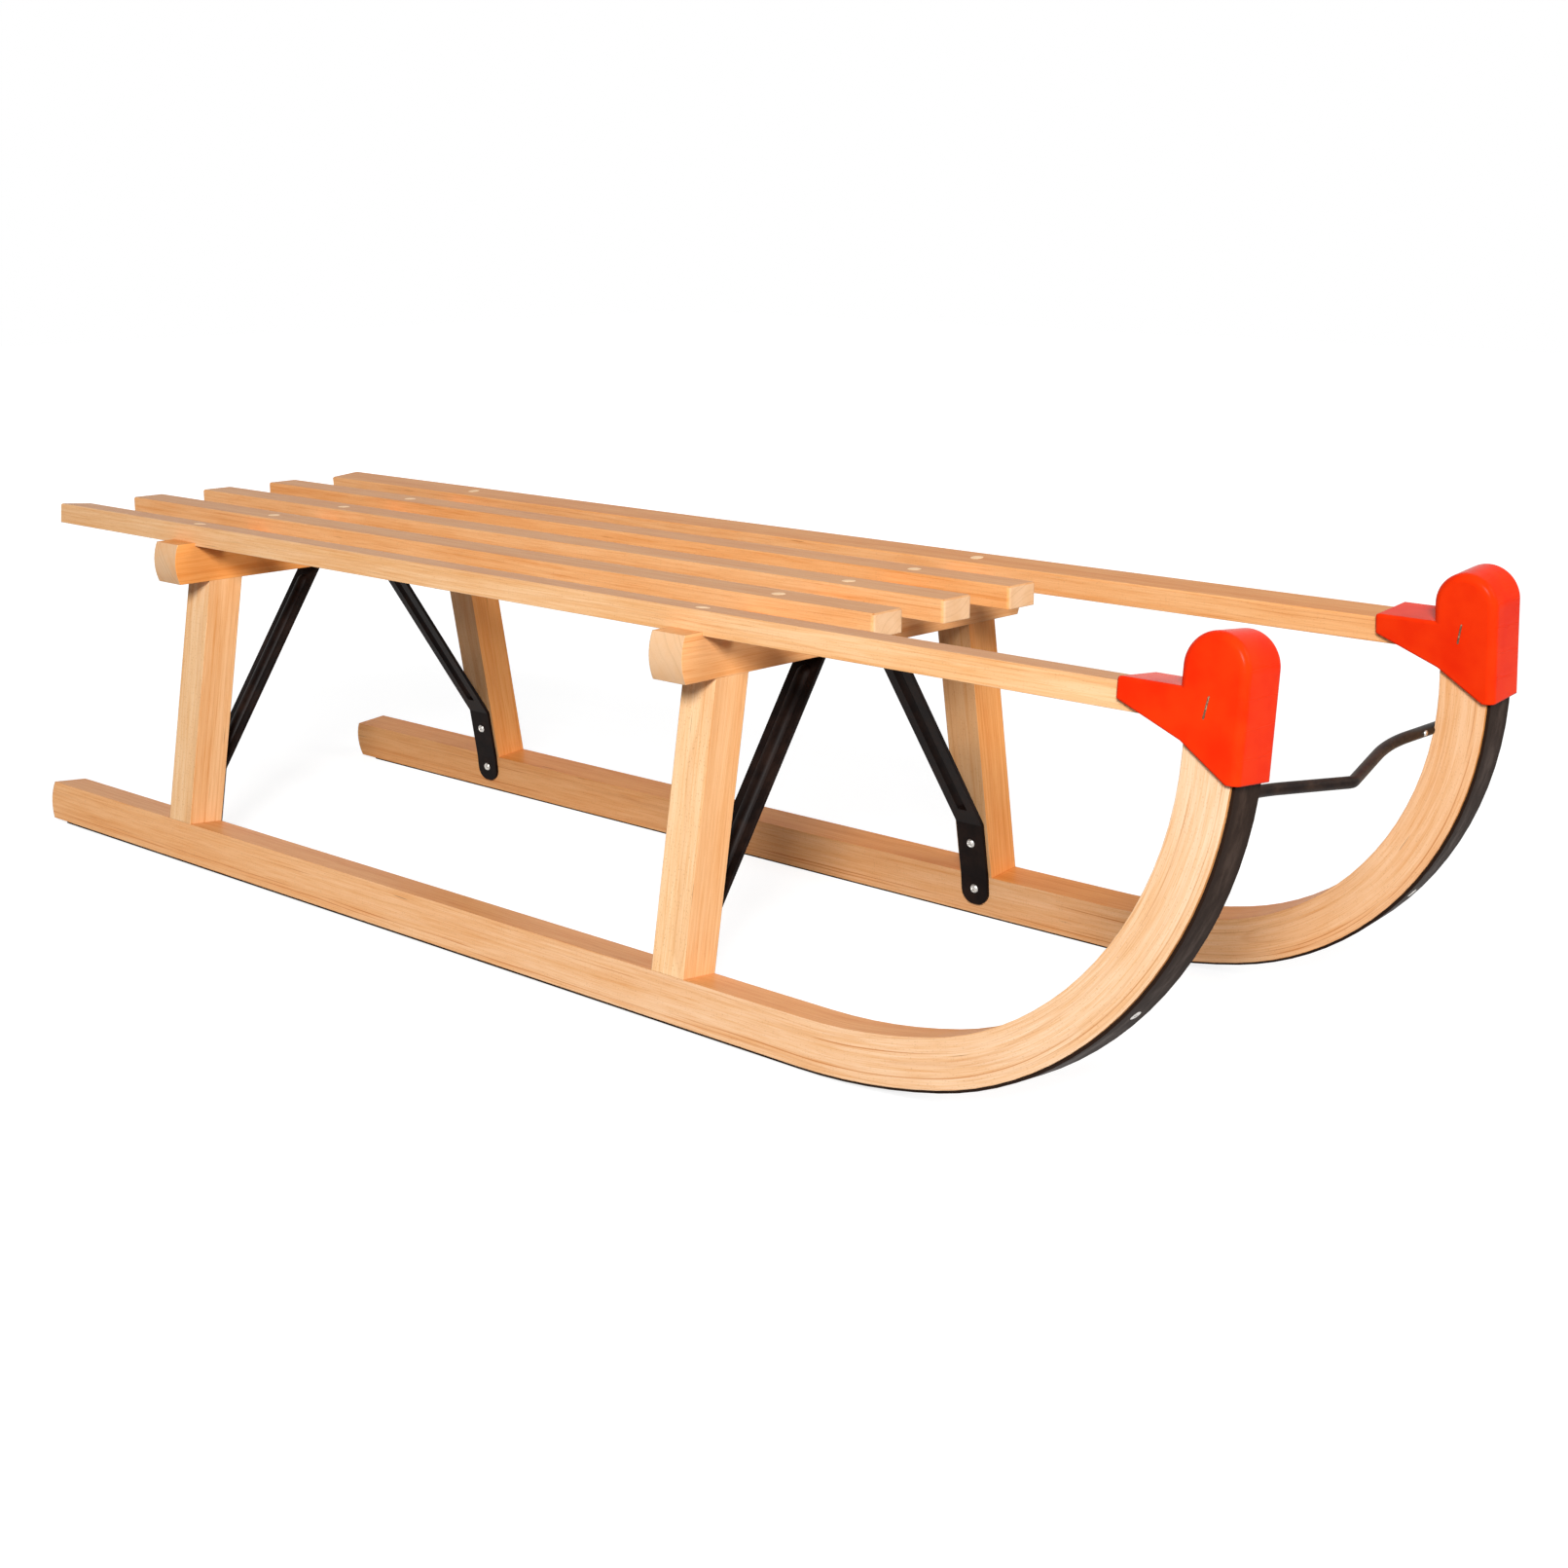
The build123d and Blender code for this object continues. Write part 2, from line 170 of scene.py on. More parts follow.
def beech(name, lay, grain, across, pith, seed, flank, face, ring=2.6, bent=None):
    """Lacquered beech. lay(place) gives the distance along the grain and two across it, in mm.

    Growth rings are shells round a pith line beside the piece: r = |across - pith| + slow noise.
    Each ring darkens towards its late wood as a power of the place within it, some rings more
    than others. Fibres, streaks and ray flecks are noise drawn out along the grain. Where the
    surface faces along the grain the same shells show as faint lines of end grain. The flank, which
    looks along across, and the face beside it each have a tone, from cream at 0 to orange at 1, a
    shade that multiplies it, and a weight of flecks. Where that shade is well below 1, on the tops
    of slats, runners and crossbars and on the far legs' inner faces, it is painted shade; above 1,
    on the near legs' outer faces, it is painted light. A bent piece has end grain only at runs below
    its end run, pales by a share between two runs, and has thin dark seams at some levels.
    """

    def early_wood_and_painted_shade(surface):
        # The shade multiplied in here is painted shade where it is well below 1 and painted light where it
        # is above 1.
        tone, shade, _ = surface
        return tuple((CREAM_WOOD + (ORANGE_WOOD - CREAM_WOOD) * tone) * shade)

    def build(wire):
        place = wire.add("TexCoord", None, None, "Object")
        normal = wire.add("NewGeometry", None, None, "Normal")
        run, near, far = lay(place)
        on_flank = abs(normal.along(across)).step(0.55, 0.80)
        slow = wire.noise((run * 0.005 + seed, near * 0.03, far * 0.03), 2.0)
        drift = wire.noise((run * 0.009 + 3 * seed, near * 0.07, far * 0.07), 3.0, 0.6)
        fibre = wire.noise((run * 0.03 + seed, near * 1.9, far * 1.9), 4.0, 0.7)
        streak = wire.noise((run * 0.006 + 5 * seed, near * 0.45, far * 0.45), 3.0, 0.6)
        pore = wire.noise((run * 0.2, near * 3.1 + seed, far * 3.1), 2.0)
        radius = ((near - pith[0]) ** 2.0 + (far - pith[1]) ** 2.0) ** 0.5 + slow * 9.0
        shell = wire.math("FRACT", radius / ring + fibre * 0.2)
        vigour = wire.noise((radius * (0.9 / ring), run * 0.003, seed), 1.0).step(0.35, 0.7)
        late = shell**5.0 * shell.step(1.0, 0.93) * vigour
        fleck = wire.dashes((run * 0.45, near * 1.4, far * 1.4 + seed))
        fleck = fleck * on_flank.switch(face[2], flank[2])
        slit = wire.noise((run * 0.02 + 7 * seed, near * 0.8, far * 0.8), 1.0).step(0.76, 0.82)
        light = on_flank.tint(early_wood_and_painted_shade(face), early_wood_and_painted_shade(flank))
        ends = abs(normal.along(grain)).step(0.6, 0.9)
        seam = 0.0
        if bent:
            ends = ends * (run < bent["end_run"])
            light = (run.step(*bent["pale_runs"]) * on_flank * bent["pale"]).tint(light, PALE_WOOD)
            for level in bent["seams"]:
                seam = seam + abs(near - level + slow * 5.0).step(0.55, 0.15) * streak.step(0.45, 0.60)
        stripes = drift.step(0.35, 0.70) * 0.40 + streak.step(0.44, 0.72) * 0.45
        long_colour = light.shade(stripes, STREAK_SHADE)
        long_colour = long_colour.shade(fibre.step(0.42, 0.72) * 0.75, STREAK_SHADE)
        long_colour = long_colour.shade(late * 0.55 + seam * 0.8, LINE_SHADE)
        long_colour = (fleck * 0.70).tint(long_colour, FLECK_WOOD)
        long_colour = (slit * 0.70).tint(long_colour, SLIT_WOOD)
        end_colour = (shell**3.0 * 0.45 * vigour).tint(END_WOOD, END_LINE)
        end_colour = (pore.step(0.5, 0.8) * 0.35).tint(end_colour, END_LINE)
        end_colour = (drift.step(0.3, 0.7) * 0.4).tint(end_colour, light)
        eased = wire.add("Bevel", {"samples": 6}, {"Radius": 0.0008})
        height = fibre * 0.6 + pore * 0.3 - fleck * 0.3 - slit
        bump = {"Strength": 0.3, "Distance": 0.0001, "Height": height, "Normal": eased}
        return {
            "Base Color": ends.tint(long_colour, end_colour),
            "Roughness": 0.40 + fibre * 0.14 + ends * 0.14 + slit * 0.2,
            "Normal": wire.add("Bump", None, bump),
        }

    return make_finish(name, build, Coat_Weight=0.06, Coat_Roughness=0.25, Specular_IOR_Level=0.12)


MM = 1000.0
LEAN = np.radians(5.3)
RUNNER_OUT, FRAME_RISE, SOLE = 157.2, 1.108, 2.0
LEAD_RADIUS, LEAD_ANGLE, BEND_RADIUS = 440.0, np.radians(13.7), 221.0
HORN_FRONT = 549.0
BEND_X = HORN_FRONT - BEND_RADIUS
BEND_TOP = SOLE + LEAD_RADIUS * (1 - np.cos(LEAD_ANGLE)) + BEND_RADIUS * np.cos(LEAD_ANGLE)
LEAD_START = BEND_X - (LEAD_RADIUS - BEND_RADIUS) * np.sin(LEAD_ANGLE)
LEAD_RUN = LEAD_RADIUS * LEAD_ANGLE
BEND_RUN = BEND_RADIUS * (np.pi / 2 - LEAD_ANGLE)


def runner_lay(side):
    """Path of a runner: a straight sole, a slow lead arc, a tight bend arc and the straight horn.

    The place is first turned into the leaning side frame: forward, up the lean and outwards.
    On an arc the run is radius x angle and the rise is radius less the distance to the centre.
    """
    up_way = np.array((0, -side * np.sin(LEAN), np.cos(LEAN)))
    out_way = np.array((0, side * np.cos(LEAN), np.sin(LEAN)))
    foot = np.array((0, RUNNER_OUT * side, FRAME_RISE))

    def lay(place):
        forward = place.along((MM, 0, 0))
        up = place.along(tuple(up_way * MM)) - float(up_way @ foot)
        out = place.along(tuple(out_way * MM)) - float(out_way @ foot)
        lead_x, lead_z = forward - LEAD_START, (SOLE + LEAD_RADIUS) - up
        bend_x, bend_z = forward - BEND_X, BEND_TOP - up
        lead_turn = place.math("ARCTAN2", lead_x, lead_z)
        bend_turn = place.math("ARCTAN2", bend_x, bend_z)
        lead_far = (lead_x * lead_x + lead_z * lead_z) ** 0.5
        bend_far = (bend_x * bend_x + bend_z * bend_z) ** 0.5
        in_lead = forward > LEAD_START
        in_bend = (bend_turn > LEAD_ANGLE) * in_lead
        in_horn = (up > BEND_TOP) * in_lead
        run = in_lead.switch(lead_x, lead_turn * LEAD_RADIUS)
        run = in_bend.switch(run, (bend_turn - LEAD_ANGLE) * BEND_RADIUS + LEAD_RUN)
        run = in_horn.switch(run, up + (LEAD_RUN + BEND_RUN - BEND_TOP))
        rise = in_lead.switch(up - SOLE, LEAD_RADIUS - lead_far)
        rise = in_bend.switch(rise, BEND_RADIUS - bend_far)
        rise = in_horn.switch(rise, HORN_FRONT - forward)
        return run, rise, out

    return lay


RUNNER_PITH, RUNNER_RING = (15.0, 26.0), 2.2
RUNNER_BEND = {"end_run": -780.0, "pale_runs": (-850.0, 450.0), "seams": (7.0, 9.5, 24.0)}
runners = (
    # name, side, seed, flank and face as tone, shade and flecks, share by which the bend pales; the face's
    # shade of 0.82 darkens the decks as painted shade
    ("left", 1, 5.0, (0.60, 1.0, 0.55), (0.88, 0.82, 0.3), 0.44),
    ("right", -1, 3.0, (0.50, 1.0, 0.55), (0.68, 0.82, 0.3), 0.72),
)
for side_name, side, seed, flank, face, pale in runners:
    node = f"runner_{side_name}"
    lay, out_way = runner_lay(side), (0, side * np.cos(LEAN), np.sin(LEAN))
    bent = {**RUNNER_BEND, "pale": pale}
    wood = beech(node, lay, (1, 0, 0), out_way, RUNNER_PITH, seed, flank, face, RUNNER_RING, bent)
    dress(node, wood)


# Shoes: rolled steel strip, bent cold round the sole and up under the cap, dark brown with mill
# scale, rubbed a little brighter along the middle where it slides, and held by countersunk screws.
SHOE_SCALE, SHOE_RUBBED = (0.019, 0.010, 0.0065), (0.060, 0.033, 0.021)


def shoe_steel(side_name, side):
    """Mill scale with long drawn scratches along the runner's path and a rubbed middle line."""

    def build(wire):
        run, rise, out = runner_lay(side)(wire.add("TexCoord", None, None, "Object"))
        scale = wire.noise((run * 0.05, out * 0.12, rise), 5.0, 0.6)
        scratch = wire.noise((run * 0.02, out * 2.4, rise), 3.0, 0.7)
        rubbed = abs(out).step(11.0, 3.0) * scale.step(0.35, 0.70)
        bare = rubbed * 0.6 + scratch.step(0.58, 0.75) * 0.3
        bump = {"Strength": 0.3, "Distance": 0.0001, "Height": scratch + scale}
        return {
            "Base Color": bare.tint(SHOE_SCALE, SHOE_RUBBED),
            "Roughness": 0.55 - bare * 0.15 + scratch * 0.1,
            "Metallic": bare * 0.5,
            "Normal": wire.add("Bump", None, bump),
        }

    return make_finish(f"shoe_steel_{side_name}", build, Specular_IOR_Level=0.05)


for side_name, side in sides:
    dress(f"runner_shoe_{side_name}", shoe_steel(side_name, side))


def seat(node, start, way):
    """The point where a ray meets a solid, with two directions in its surface and the one out of it.

    The ray starts outside the solid, CLEAR away from the sled or nearer.
    """
    found, point, normal, _ = nodes[node].ray_cast(Vector(start), Vector(way).normalized())
    if not found:
        raise ValueError(f"nothing of {node} lies in the way")
    side_ways = Vector((1, 0, 0)) if abs(normal.x) < 0.8 else Vector((0, 1, 0))
    u = (side_ways - normal * normal.dot(side_ways)).normalized()
    return np.array((point, u, normal.cross(u), normal))


def repeat(local, seats):
    """The local points (rows, columns, 3) set on every seat: point + x u + y v + z n."""
    seats = np.asarray(seats)
    return seats[:, None, None, 0] + np.einsum("rcx,sxk->srck", local, seats[:, 1:])


def skin(name, grids, material):
    """One piece from point grids (count, rows, columns, 3) whose columns close round.

    Each cell of a grid is a face. The first and last rows shrink to a point, and doubled points
    are merged, so that every grid is a closed form.
    """
    count, rows, columns, _ = grids.shape
    index = np.arange(count * rows * columns).reshape(count, rows, columns)
    turned = np.roll(index, -1, axis=2)
    corners = (index[:, :-1], turned[:, :-1], turned[:, 1:], index[:, 1:])
    mesh = bpy.data.meshes.new(name)
    mesh.from_pydata(grids.reshape(-1, 3).tolist(), [], np.stack(corners, axis=-1).reshape(-1, 4).tolist())
    bm = bmesh.new()
    bm.from_mesh(mesh)
    bmesh.ops.remove_doubles(bm, verts=bm.verts, dist=1e-6)
    bmesh.ops.recalc_face_normals(bm, faces=bm.faces)
    bm.to_mesh(mesh)
    bm.free()
    mesh.shade_smooth()
    mesh.materials.append(material)
    piece = bpy.data.objects.new(name, mesh)
    bpy.context.scene.collection.objects.link(piece)
    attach(piece, "root")
    return piece


def spread(wire):
    """The place in mm as three wires."""
    place = wire.add("TexCoord", None, None, "Object")
    return [place.along(axis) for axis in ((MM, 0, 0), (0, MM, 0), (0, 0, MM))]


BRIGHT_STEEL, DULL_STEEL = (0.62, 0.60, 0.57), (0.34, 0.31, 0.28)


def zinc_build(wire):
    """Bright zinc: fine mottled crystals and a little dull dirt."""
    x, y, z = spread(wire)
    crystal = wire.noise((x * 1.5, y * 1.5, z * 1.5), 3.0)
    return {
        "Base Color": crystal.step(0.45, 0.75).tint(BRIGHT_STEEL, DULL_STEEL),
        "Roughness": 0.22 + crystal * 0.2,
        "Normal": wire.add("Bump", None, {"Strength": 0.1, "Distance": 0.00005, "Height": crystal}),
    }


def screw_head(radius, rise, sink, around=48, rings=22):
    """Round head with a cross recess, on a polar grid.

    Height = rise (1 - (r / radius)^4) less a cross, 0.3 of the radius deep, whose two arms are soft
    steps in |x| and |y|. The last rows go straight down into what carries the screw and close below.
    """
    turn = np.linspace(0, 2 * np.pi, around, endpoint=False)
    r = radius * np.linspace(0, 1, rings)[:, None]
    x, y = r * np.cos(turn), r * np.sin(turn)
    short, long = np.minimum(abs(x), abs(y)), np.maximum(abs(x), abs(y))
    arm = np.clip((0.20 * radius - short) / (0.10 * radius), 0, 1)
    reach = np.clip((0.62 * radius - long) / (0.12 * radius), 0, 1)
    z = rise * (1 - (r / radius) ** 4) - 0.30 * radius * arm * reach
    head = np.stack((x, y, z), axis=-1)
    skirt = np.stack((x[-1], y[-1], np.full(around, -sink)), axis=-1)
    foot = np.broadcast_to((0, 0, -sink), skirt.shape)
    return np.concatenate((head, skirt[None], foot[None]))


CLEAR = 0.4
SOLE_SCREWS_X, BEND_SCREW_TURN = (-0.47, -0.19, 0.09), np.radians(49.5)
SHOE_HEAD_RADIUS, SHOE_HEAD_RISE, SHOE_HEAD_SINK = 0.0034, 0.0004, 0.0006
zinc = make_finish("bright_zinc", zinc_build, Metallic=1.0)
shoe_seats = []
for side_name, side in sides:
    node = f"runner_shoe_{side_name}"
    foot_y = side * RUNNER_OUT / MM
    shoe_seats += [seat(node, (x, foot_y, -CLEAR), (0, 0, 1)) for x in SOLE_SCREWS_X]
    ahead, down = np.sin(BEND_SCREW_TURN), np.cos(BEND_SCREW_TURN)
    way = np.array((ahead, side * np.sin(LEAN) * down, -down))
    bend = np.array((BEND_X, side * (RUNNER_OUT - BEND_TOP * np.sin(LEAN)), BEND_TOP)) / MM
    shoe_seats.append(seat(node, bend + way * CLEAR, -way))
shoe_head = screw_head(SHOE_HEAD_RADIUS, SHOE_HEAD_RISE, SHOE_HEAD_SINK)
skin("shoe_screws", repeat(shoe_head, shoe_seats), zinc)


# Legs: four square beech posts, tenoned into the runners below and the crossbars above,
# leaning inwards more than the runners do. Their grain stands upright.
SPLAY = np.radians(9.6)
LEG_RING = 3.0
leg_tones_and_painted_shade = {
    # flank and face as tone, shade and flecks; the face's shade is painted light on the near right legs'
    # outer faces and painted shade on the far left legs' inner faces
    "left": ((0.78, 0.95, 0.15), (0.32, 0.80, 0.8)),
    "right": ((0.38, 0.95, 0.15), (0.12, 1.02, 0.8)),
}


def straight_lay(node, grain, across):
    """Plain directions along and across a straight piece, measured from the middle of its box."""
    low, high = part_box(node)
    middle = np.array(low + high) / 2
    grain, across = np.array(grain, float), np.array(across, float)
    ways = (grain, across, np.cross(grain, across))

    def lay(place):
        return [place.along(tuple(way * MM)) - float(way @ middle) * MM for way in ways]

    return lay


for post, post_seed in (("front", 11.0), ("rear", 17.0)):
    for side_name, side in sides:
        node = f"leg_{post}_{side_name}"
        upright = (0, -side * np.sin(SPLAY), np.cos(SPLAY))
        lay = straight_lay(node, upright, (1, 0, 0))
        pith, leg_seed = (9.0, -38.0 * side), post_seed + 2 * side
        dress(node, beech(node, lay, upright, (1, 0, 0), pith, leg_seed, *leg_tones_and_painted_shade[side_name], LEG_RING))


# Crossbars: two square beech bars, notched for the slats on top and mortised for the legs below.
# Their sawn ends, rounded a little, show outside the legs.
BAR_PITH, BAR_RING = (-64.0, 40.0), 3.2
for post, bar_seed, tone in (("front", 23.0, 0.55), ("rear", 31.0, 0.85)):
    node = f"crossbar_{post}"
    lay = straight_lay(node, (0, 1, 0), (1, 0, 0))
    # The face's lower shade darkens the tops and undersides as painted shade.
    flank, face = (tone, 0.97, 0.15), (tone, 0.85, 0.3)
    dress(node, beech(node, lay, (0, 1, 0), (1, 0, 0), BAR_PITH, bar_seed, flank, face, BAR_RING))


# Braces: flat steel strip with a bead pressed along the middle, bent at both ends, sprayed black,
# and screwed under the crossbar and to the leg and runner with round-headed zinc screws.
PAINT_BLACK, PAINT_THIN = (0.0055, 0.0030, 0.0025), (0.020, 0.010, 0.007)


def black_paint_build(wire):
    """Black paint: a fine orange peel, slow clouds of thinner brown paint, softened edges."""
    x, y, z = spread(wire)
    peel = wire.noise((x * 0.9, y * 0.9, z * 0.9), 2.0)
    cloud = wire.noise((x * 0.06, y * 0.06, z * 0.06), 4.0, 0.6)
    eased = wire.add("Bevel", {"samples": 6}, {"Radius": 0.0006})
    bump = {"Strength": 0.15, "Distance": 0.0001, "Height": peel, "Normal": eased}
    return {
        "Base Color": cloud.step(0.35, 0.8).tint(PAINT_BLACK, PAINT_THIN),
        "Roughness": 0.30 + cloud * 0.14 + peel * 0.06,
        "Normal": wire.add("Bump", None, bump),
    }


FOOT_SCREWS_Z, HEAD_SCREW_Y, UNDER_HEAD = (0.056, 0.0215), 0.023, 0.1
BRACE_HEAD_RADIUS, BRACE_HEAD_RISE, BRACE_HEAD_SINK = 0.0034, 0.0017, 0.0008
black_paint = make_finish("black_paint", black_paint_build, Specular_IOR_Level=0.05)
brace_seats = []
for post in ("front", "rear"):
    for side_name, side in sides:
        node = f"brace_{post}_{side_name}"
        dress(node, black_paint)
        low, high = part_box(node)
        x = (low.x + high.x) / 2
        brace_seats += [seat(node, (x, 0, z), (0, side, 0)) for z in FOOT_SCREWS_Z]
        brace_seats.append(seat(node, (x, side * HEAD_SCREW_Y, UNDER_HEAD), (0, 0, 1)))
brace_head = screw_head(BRACE_HEAD_RADIUS, BRACE_HEAD_RISE, BRACE_HEAD_SINK)
skin("brace_screws", repeat(brace_head, brace_seats), zinc)


# Slats: five beech laths with eased top edges, let into the crossbars and screwed down from above.
# The outer two lean with the side frames and butt against the horns.
slats = (
    # name, seed, lean, tone of the flanks, tone and shade of the top, pith; the top's shade darkens the
    # tops as painted shade, less towards the far side
    ("outer_left", 41.0, 1, 0.50, 0.75, 0.72, (-30.0, -26.0)),
    ("inner_left", 47.0, 0, 0.62, 0.68, 0.70, (8.0, -30.0)),
    ("middle", 53.0, 0, 0.50, 0.62, 0.68, (-12.0, 24.0)),
    ("inner_right", 59.0, 0, 0.50, 0.60, 0.66, (20.0, -22.0)),
    ("outer_right", 67.0, -1, 0.25, 0.65, 0.62, (-24.0, -30.0)),
)
for slat_name, slat_seed, lean, tone, top_tone, top_painted_shade, pith in slats:
    node = f"slat_{slat_name}"
    across = (0, np.cos(LEAN * lean), np.sin(LEAN * lean))
    lay = straight_lay(node, (1, 0, 0), across)
    # The top's shade darkens the tops as painted shade.
    flank, face = (tone, 0.96, 0.45), (top_tone, top_painted_shade, 0.45)
    dress(node, beech(node, lay, (1, 0, 0), across, pith, slat_seed, flank, face))


# Plugs: pale beech buttons that cover the screws, one wherever a slat crosses a crossbar,
# glued in and sanded almost flush.
PLUG_PALE, PLUG_LINE = (0.90, 0.62, 0.36), (0.76, 0.46, 0.23)
PLUG_RADIUS, PLUG_RISE, PLUG_SINK = 0.0046, 0.00025, 0.0004


def plug_build(wire):
    """Pale wood with short fibres across the slats' own grain."""
    x, y, z = spread(wire)
    fibre = wire.noise((x * 1.8, y * 0.12, z * 1.8), 3.0)
    return {
        "Base Color": fibre.step(0.4, 0.75).tint(PLUG_PALE, PLUG_LINE),
        "Roughness": 0.42 + fibre * 0.12,
        "Normal": wire.add("Bump", None, {"Strength": 0.2, "Distance": 0.00005, "Height": fibre}),
    }


def button(radius, rise, sink, around=40, rings=10):
    """Low button on a polar grid: height = rise (1 - (r / radius)^6), then a straight side."""
    turn = np.linspace(0, 2 * np.pi, around, endpoint=False)
    part = np.linspace(0, 1, rings)[:, None]
    x, y = radius * part * np.cos(turn), radius * part * np.sin(turn)
    top = np.stack((x, y, rise * (1 - part**6) + 0 * x), axis=-1)
    side = np.stack((x[-1], y[-1], np.full(around, -sink)), axis=-1)
    foot = np.broadcast_to((0, 0, -sink), side.shape)
    return np.concatenate((top, side[None], foot[None]))


plug_seats = []
for slat_name, *_ in slats:
    slat_low, slat_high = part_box(f"slat_{slat_name}")
    for post in ("front", "rear"):
        bar_low, bar_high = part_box(f"crossbar_{post}")
        over = ((bar_low.x + bar_high.x) / 2, (slat_low.y + slat_high.y) / 2, CLEAR)
        plug_seats.append(seat(f"slat_{slat_name}", over, (0, 0, -1)))
plug_wood = make_finish("plug_wood", plug_build, Specular_IOR_Level=0.28)
plug = button(PLUG_RADIUS, PLUG_RISE, PLUG_SINK)
skin("slat_plugs", repeat(plug, plug_seats), plug_wood)


# Pull bar: a round steel rod, bent forward to a blunt point and blackened,
# let into the backs of the horns and pinned at each end by a small bright rivet.
BAR_BLACK, BAR_BROWN = (0.010, 0.006, 0.005), (0.032, 0.018, 0.012)
ROD_RADIUS, ROD_SHOULDER, ROD_REACH, ROD_DROP = 0.0035, 0.0745, 0.020, 0.0054
SHOULDER_BEND, NOSE_BEND = 0.170, 0.010
RIVET_OUT, RIVET_RADIUS, RIVET_RISE, RIVET_SINK = 0.114, 0.0018, 0.0008, 0.0006


def bar_build(wire):
    """Blackened steel: brown clouds under a thin oily black, with fine drawing lines."""
    x, y, z = spread(wire)
    cloud = wire.noise((x * 0.15, y * 0.08, z * 0.15), 4.0, 0.6)
    line = wire.noise((x * 2.0, y * 0.06, z * 2.0), 2.0)
    return {
        "Base Color": cloud.step(0.35, 0.7).tint(BAR_BLACK, BAR_BROWN),
        "Roughness": 0.36 + cloud * 0.16,
        "Metallic": line * 0.3,
        "Normal": wire.add("Bump", None, {"Strength": 0.2, "Distance": 0.0001, "Height": line}),
    }


def bent_path(corners, bends, steps=14):
    """Straight runs through the corners, each corner rounded by an arc of its own radius.

    The arc's centre lies on the corner's bisector at radius / sin(half angle), and it touches
    both runs; its points are centre + radius (e1 cos a + e2 sin a).
    """
    rows = [corners[:1]]
    for before, corner, after, radius in zip(corners, corners[1:], corners[2:], bends):
        back, on = (way / np.linalg.norm(way) for way in (before - corner, after - corner))
        half = np.arccos(back @ on) / 2
        centre = corner + (back + on) / np.linalg.norm(back + on) * radius / np.sin(half)
        e1 = (corner + back * radius / np.tan(half) - centre) / radius
        e2 = -back
        a = np.linspace(0, np.pi - 2 * half, steps)[:, None]
        rows.append(centre + radius * (e1 * np.cos(a) + e2 * np.sin(a)))
    return np.concatenate((*rows, corners[-1:]))


def tube(path, across, radius, around=24):
    """Circle carried along a flat path: path + radius (across cos t + side sin t), ends shut."""
    way = np.gradient(path, axis=0)
    way /= np.linalg.norm(way, axis=1, keepdims=True)
    side = np.cross(way, across)
    turn = np.linspace(0, 2 * np.pi, around, endpoint=False)
    ring = np.cos(turn)[None, :, None] * across + np.sin(turn)[None, :, None] * side[:, None]
    rows = path[:, None] + radius * ring
    ends = [np.broadcast_to(point, rows[:1].shape) for point in (path[0], path[-1])]
    return np.concatenate((ends[0], rows, ends[1]))


rod_low, rod_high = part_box("pull_bar")
rod_x, rod_z, rod_end = rod_low.x + ROD_RADIUS, rod_high.z - ROD_RADIUS, rod_high.y
rod_corners = np.array((
    (rod_x, rod_end, rod_z),
    (rod_x, ROD_SHOULDER, rod_z),
    (rod_x + ROD_REACH, 0, rod_z - ROD_DROP),
    (rod_x, -ROD_SHOULDER, rod_z),
    (rod_x, -rod_end, rod_z),
))
rod_path = bent_path(rod_corners, (SHOULDER_BEND, NOSE_BEND, SHOULDER_BEND))
rod_across = np.cross((0, 1, 0), (ROD_REACH, 0, -ROD_DROP)) / np.hypot(ROD_REACH, ROD_DROP)
bar_steel = make_finish("pull_bar_steel", bar_build, Specular_IOR_Level=0.08)
in_front = rod_high.x + CLEAR
rivet_seats = [seat("pull_bar", (in_front, side * RIVET_OUT, rod_z), (-1, 0, 0)) for _, side in sides]
rod = skin("bent_pull_bar", tube(rod_path, rod_across, ROD_RADIUS)[None], bar_steel)
dress("pull_bar", bar_steel)
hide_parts("pull_bar")
rivet = button(RIVET_RADIUS, RIVET_RISE, RIVET_SINK, rings=12)
skin("bar_rivets", repeat(rivet, rivet_seats), zinc)


# Caps: one glossy red plastic moulding for each horn, open below, pushed over the horn and the slat's
# end and held by a wire staple on either side. Faint flow lines from the mould cross the front.
CAP_RED, CAP_DEEP = (0.80, 0.034, 0.003), (0.74, 0.021, 0.002)
FLOW_PITCH, CAP_FRONT = 15.0, 550.0


def red_plastic_build(wire):
    """Moulded plastic: slow clouds in the red, thin level flow lines in front, a fine skin."""
    x, y, z = spread(wire)
    cloud = wire.noise((x * 0.05, y * 0.05, z * 0.05), 3.0)
    wave = wire.noise((x * 0.02, y * 0.10, z * 0.02), 2.0)
    pitting = wire.noise((x * 2.5, y * 2.5, z * 2.5), 2.0)
    level = wire.math("FRACT", z / FLOW_PITCH + wave * 0.15)
    flow = abs(level - 0.5).step(0.03, 0.0) * (x > CAP_FRONT)
    eased = wire.add("Bevel", {"samples": 8}, {"Radius": 0.0015})
    bump = {"Strength": 0.3, "Distance": 0.00012, "Height": pitting * 0.3 + flow, "Normal": eased}
    return {
        "Base Color": cloud.step(0.3, 0.75).tint(CAP_RED, CAP_DEEP),
        "Roughness": 0.20 + cloud * 0.10 + flow * 0.1,
        "Normal": wire.add("Bump", None, bump),
    }


STAPLE_BROWN, STAPLE_BRIGHT = (0.16, 0.085, 0.045), (0.42, 0.30, 0.20)
STAPLE_TOP, STAPLE_END = (0.5335, 0.2616), (0.5314, 0.2500)
STAPLE_LENGTH, STAPLE_WIRE, STAPLE_LEG = 0.0122, 0.0006, 0.002


